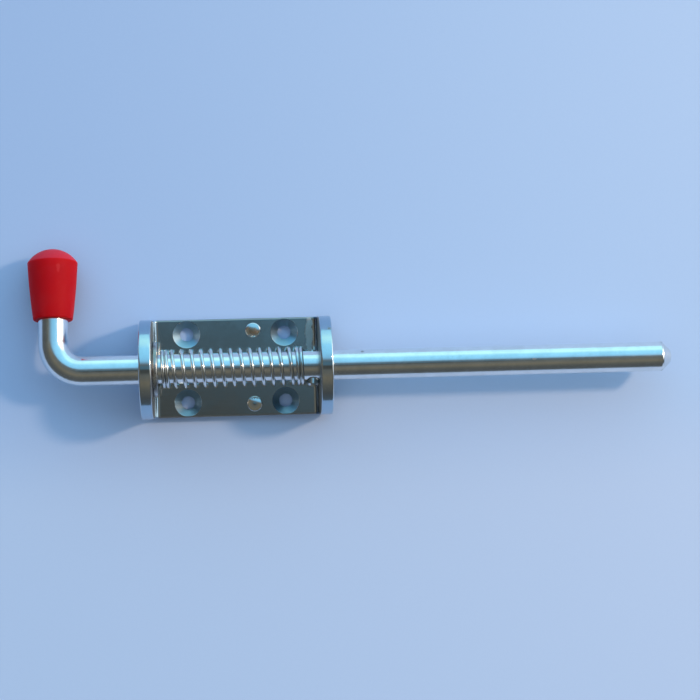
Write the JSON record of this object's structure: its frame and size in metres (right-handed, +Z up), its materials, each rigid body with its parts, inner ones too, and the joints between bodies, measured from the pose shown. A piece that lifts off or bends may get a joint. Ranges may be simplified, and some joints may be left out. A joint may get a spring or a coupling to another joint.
{
  "type": "spring loaded gate latch",
  "caption": "Spring-loaded round bolt sliding in a U-shaped screw-on bracket, with a bent handle and a soft cap, shot by a compression spring behind a cross pin.",
  "frame": {"origin": "middle of the bracket's flat mounting face", "axes": "+X along the bolt towards its free end, +Y towards the side the handle points to, +Z up from the mounting face"},
  "size_m": [0.2604, 0.0699, 0.0375],
  "materials": {
    "zinc_plate": "bright zinc plated steel, faintly mottled",
    "zinc_rod": "bright zinc plated drawn bar",
    "washer_steel": "dull zinc plated washer",
    "pin_steel": "plated steel pin",
    "spring_wire": "bright plated spring wire",
    "red_cap": "soft red moulded plastic, satin"
  },
  "bodies": {
    "bracket": {"bracket": "zinc_plate", "washer": "washer_steel"},
    "spring": {"spring": "spring_wire"},
    "bolt": {"bolt_rod": "zinc_rod", "stop_pin": "pin_steel", "handle_cap": "red_cap"}
  },
  "joints": [
    {"name": "bolt_slide", "type": "slide", "parent": "bracket", "child": "spring", "axis": [-1, 0, 0], "range_m": [0, 0.03], "stiffness_N_per_m": 1200, "springref_m": -0.025, "deforming": ["spring"]},
    {"name": "bolt_turn", "type": "hinge", "parent": "spring", "child": "bolt", "pos_m": [0, 0, 0.0175], "axis": [1, 0, 0], "continuous": true}
  ]
}
